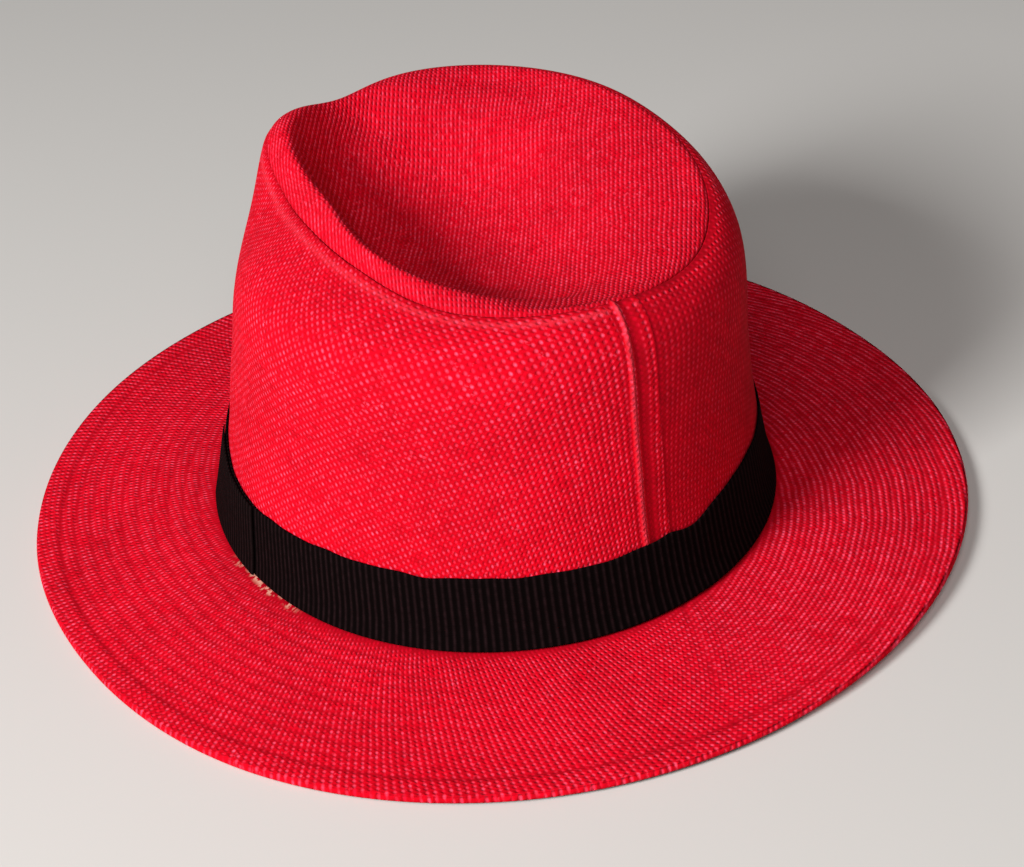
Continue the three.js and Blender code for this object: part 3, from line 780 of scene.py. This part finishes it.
# %% Woven cloth
def woven(name, pitch, run, light):
    """Dyed yarn in a plain weave on the bias: one float in every cell, light (0 to 1) is how strong its
    painted sheen is.
    """
    made, tree, shader = material(name, 0.95, 0.0, 0.08)
    uv = add(tree, "UVMap", uv_map="threads")
    a, b, float_on, height = weave(tree, uv, pitch, run)
    slub_a = slub(tree, a, b, 0.0)
    slub_b = slub(tree, b, a, 9.0)
    shade = add(tree, "Attribute", out="Fac", attribute_name="shade")
    # dark is how much shade is painted, from the negative values of the shade attribute
    dark = add(tree, "Math", (shade, -0.75), operation="MULTIPLY", use_clamp=True)
    point = add(tree, "TexCoord", out="Object")
    fuzz = add(tree, "TexNoise", {"Vector": point, "Scale": 900.0, "Detail": 3.0})
    # painted shade between the threads: the colour is darker where the weave is low and lighter on the
    # threads' tops
    base = add(tree, "Mix", {0: height, 6: linear("#BE0012"), 7: linear("#E80026")}, 2, data_type="RGBA")

    # the floats get a painted sheen that varies along each thread and with the fuzz, and fades where shade
    # is painted
    shine = add(tree, "MapRange", {"Value": float_on, "From Min": 0.35, "From Max": 1.0})
    vary = add(tree, "MapRange", {"Value": slub_a, "From Min": 0.38, "From Max": 0.66, "To Min": 0.1,
                                  "To Max": 1.2})
    # 1 where no shade is painted, falling to 0 in painted shade
    from_painted_shade = add(tree, "Math", (dark, -3.0, 1.0), operation="MULTIPLY_ADD", use_clamp=True)
    loose = add(tree, "MapRange", {"Value": fuzz, "From Min": 0.3, "From Max": 0.7, "To Min": 0.55,
                                   "To Max": 1.35})
    varied = add(tree, "Math", (shine, vary), operation="MULTIPLY")
    lifted = add(tree, "Math", (from_painted_shade, loose), operation="MULTIPLY")
    shine = add(tree, "Math", (varied, lifted), operation="MULTIPLY")
    shine = add(tree, "Math", (shine, light), operation="MULTIPLY", use_clamp=True)
    fleck = add(tree, "TexNoise", {"Vector": uv, "Scale": 560.0, "Detail": 2.0}, noise_dimensions="2D")
    fleck = add(tree, "MapRange", {"Value": fleck, "From Min": 0.66, "From Max": 0.78, "To Max": 0.3})
    pale = add(tree, "Math", (shine, add(tree, "Math", (fleck, from_painted_shade), operation="MULTIPLY")),
               operation="MAXIMUM")
    # painted sheen: the floats are mixed towards pale pink
    lit = add(tree, "Mix", {0: pale, 6: base, 7: linear("#FF5878")}, 2, data_type="RGBA")

    # slow changes of the dye, then painted shade, a painted highlight and glue over it
    deep = add(tree, "MapRange", {"Value": slub_b, "From Min": 0.3, "From Max": 0.7, "To Min": 0.8,
                                  "To Max": 1.12})
    broad = add(tree, "TexNoise", {"Vector": point, "Scale": 26.0, "Detail": 3.0})
    patch = add(tree, "MapRange", {"Value": broad, "From Min": 0.3, "From Max": 0.7, "To Min": 0.88,
                                   "To Max": 1.06})
    tone = add(tree, "Math", (deep, patch), operation="MULTIPLY")
    toned = add(tree, "VectorMath", {0: lit, "Scale": tone}, operation="SCALE")
    # painted shade: the colour goes towards dark red where the shade attribute is negative
    shaded = add(tree, "Mix", {0: dark, 6: toned, 7: linear("#50000A")}, 2, data_type="RGBA")
    # painted highlight: the colour goes towards pink where the shade attribute is positive, as on the welt
    painted_highlight = add(tree, "Math", (shade, loose), operation="MULTIPLY")
    painted_highlight = add(tree, "Math", (painted_highlight, 0.5), operation="MULTIPLY", use_clamp=True)
    highlighted = add(tree, "Mix", {0: painted_highlight, 6: shaded, 7: linear("#FF5C70")}, 2, data_type="RGBA")
    glue = add(tree, "Attribute", out="Fac", attribute_name="glue")
    crumbs = add(tree, "TexNoise", {"Vector": uv, "Scale": 420.0, "Detail": 3.0}, noise_dimensions="2D")
    crumbs = add(tree, "MapRange", {"Value": crumbs, "From Min": 0.47, "From Max": 0.55, "To Max": 0.85})
    glued = add(tree, "Math", (glue, crumbs), operation="MULTIPLY")
    colour = add(tree, "Mix", {0: glued, 6: highlighted, 7: linear("#D09480")}, 2, data_type="RGBA")

    relief = add(tree, "Math", (fuzz, 0.5, height), operation="MULTIPLY_ADD")
    # the bump is weaker where shade is painted
    strength = add(tree, "Math", (from_painted_shade, 0.6, 0.15), operation="MULTIPLY_ADD")
    bumped = add(tree, "Bump", {"Height": relief, "Distance": 0.0006, "Strength": strength})
    tree.links.new(colour, shader.inputs["Base Color"])
    tree.links.new(bumped, shader.inputs["Normal"])
    return made


# coarse yarn, dyed red before it was woven; each panel is stretched another way, so its cells differ
side.data.materials.append(woven("crown_woven_cloth", (0.00196, 0.0020), 0.35, 0.75))
tip.data.materials.append(woven("tip_woven_cloth", (0.0015, 0.0021), 0.65, 0.62))
brim.data.materials.append(woven("brim_woven_cloth", (BRIM_CELL[0] * MM, BRIM_CELL[1] * MM), 0.5, 0.75))

# %% [markdown]
# ## Black ribbon
# The ribs of the ribbon are modelled, so the material only adds a painted highlight on their tops and the
# fine warp threads that run across them.

# %% Ribbon
def ribbed(name, dark, top):
    """Black ribbon: rib tops at the modelled pitch painted lighter as a highlight, and fine threads along
    it.
    """
    made, tree, shader = material(name, 0.9, 0.0, 0.04)
    uv = add(tree, "UVMap", uv_map="threads")
    along = add(tree, "SeparateXYZ", (uv,), 0)
    up = add(tree, "SeparateXYZ", (uv,), 1)
    turns = add(tree, "Math", (along, math.pi / (RIB_PITCH * MM)), operation="MULTIPLY")
    rib = add(tree, "Math", (add(tree, "Math", (turns,), operation="SINE"),), operation="ABSOLUTE")
    fine = add(tree, "Math", (add(tree, "Math", (up, 2 * math.pi / 0.0006), operation="MULTIPLY"),),
               operation="SINE")
    noise = add(tree, "TexNoise", {"Vector": uv, "Scale": 400.0, "Detail": 3.0}, noise_dimensions="2D")
    spread = add(tree, "MapRange", {"Value": noise, "From Min": 0.35, "From Max": 0.7, "To Min": 0.5})
    tops = add(tree, "Math", (rib, 5.0), operation="POWER")
    # painted highlight on the rib tops, varied by noise
    rib_top_highlight = add(tree, "Math", (tops, spread), operation="MULTIPLY")
    colour = add(tree, "Mix", {0: rib_top_highlight, 6: linear(dark), 7: linear(top)}, 2, data_type="RGBA")
    relief = add(tree, "Math", (fine, 0.2, noise), operation="MULTIPLY_ADD")
    bumped = add(tree, "Bump", {"Height": relief, "Distance": 0.00015, "Strength": 0.6})
    tree.links.new(colour, shader.inputs["Base Color"])
    tree.links.new(bumped, shader.inputs["Normal"])
    return made


band.data.materials.append(ribbed("black_grosgrain", "#030101", "#1C1012"))
lap.data.materials.append(ribbed("black_grosgrain_lap", "#050202", "#1A1011"))

# %% [markdown]
# ## The floor, the light and the camera
# A pale floor, one large soft lamp on the left like a window, and a weak fill from above the camera, which
# keeps the colour in the shaded side.

# %% Floor
floor_mesh = bpy.data.meshes.new("floor")
FLOOR_HALF = 3.0
floor_mesh.from_pydata([(-FLOOR_HALF, -FLOOR_HALF, 0), (FLOOR_HALF, -FLOOR_HALF, 0),
                        (FLOOR_HALF, FLOOR_HALF, 0), (-FLOOR_HALF, FLOOR_HALF, 0)], [], [(0, 1, 2, 3)])
floor = bpy.data.objects.new("floor", floor_mesh)
bpy.context.scene.collection.objects.link(floor)
floor_paint, floor_tree, floor_shader = material("pale_floor", 0.9)
floor_shader.inputs["Base Color"].default_value = linear("#C9C7C3")
floor.data.materials.append(floor_paint)

# %% Camera
IMAGE_WIDTH = 1024
SENSOR = 36.0
AZIMUTH, ELEVATION, ROLL = 152.64, 32.74, -6.95
DISTANCE, FOCAL_PIXELS = 700.3, 2333.8
AIM = Vector((21.53, 59.77, 60.0)) * MM


def place_camera():
    """Looks at AIM from an azimuth round Z (0 looks along +Y) and an elevation, rolled about its axis."""
    a, e, roll = (math.radians(x) for x in (AZIMUTH, ELEVATION, ROLL))
    back = Vector((math.sin(a) * math.cos(e), -math.cos(a) * math.cos(e), math.sin(e)))
    right = (-back).cross(Vector((0, 0, 1))).normalized()
    up = right.cross(-back)
    turned_right = math.cos(roll) * right + math.sin(roll) * up
    turned_up = -math.sin(roll) * right + math.cos(roll) * up
    data = bpy.data.cameras.new("camera")
    data.sensor_width = SENSOR
    data.lens = FOCAL_PIXELS * SENSOR / IMAGE_WIDTH
    data.clip_start, data.clip_end = 0.01, 20
    camera = bpy.data.objects.new("camera", data)
    bpy.context.scene.collection.objects.link(camera)
    turn = Matrix((turned_right, turned_up, back)).transposed().to_4x4()
    camera.matrix_world = Matrix.Translation(AIM + back * DISTANCE * MM) @ turn
    bpy.context.scene.camera = camera
    print("camera at", [round(x, 3) for x in camera.location], "lens", round(data.lens, 1))


place_camera()

# %% Light
def soft_lamp(name, where, towards, size, power, colour):
    """A square area lamp at a place, facing another place, both in metres."""
    data = bpy.data.lights.new(name, "AREA")
    data.size, data.energy = size, power
    data.color = linear(colour)[:3]
    lamp = bpy.data.objects.new(name, data)
    bpy.context.scene.collection.objects.link(lamp)
    direction = Vector(towards) - Vector(where)
    lamp.matrix_world = Matrix.Translation(where) @ direction.to_track_quat("-Z", "Y").to_matrix().to_4x4()
    return lamp


soft_lamp("window", (1.70, 0.46, 1.10), (0, 0, 0.06), 0.6, 56, "#FFFFFF")
soft_lamp("fill", (0.6, 1.2, 1.6), (0, 0, 0.05), 1.0, 20, "#FFF8F6")
world = bpy.data.worlds.new("room")
world.use_nodes = True
world.node_tree.nodes["Background"].inputs["Color"].default_value = linear("#D9DCE0")
world.node_tree.nodes["Background"].inputs["Strength"].default_value = 0.09
bpy.context.scene.world = world
bpy.context.scene.view_settings.view_transform = "Standard"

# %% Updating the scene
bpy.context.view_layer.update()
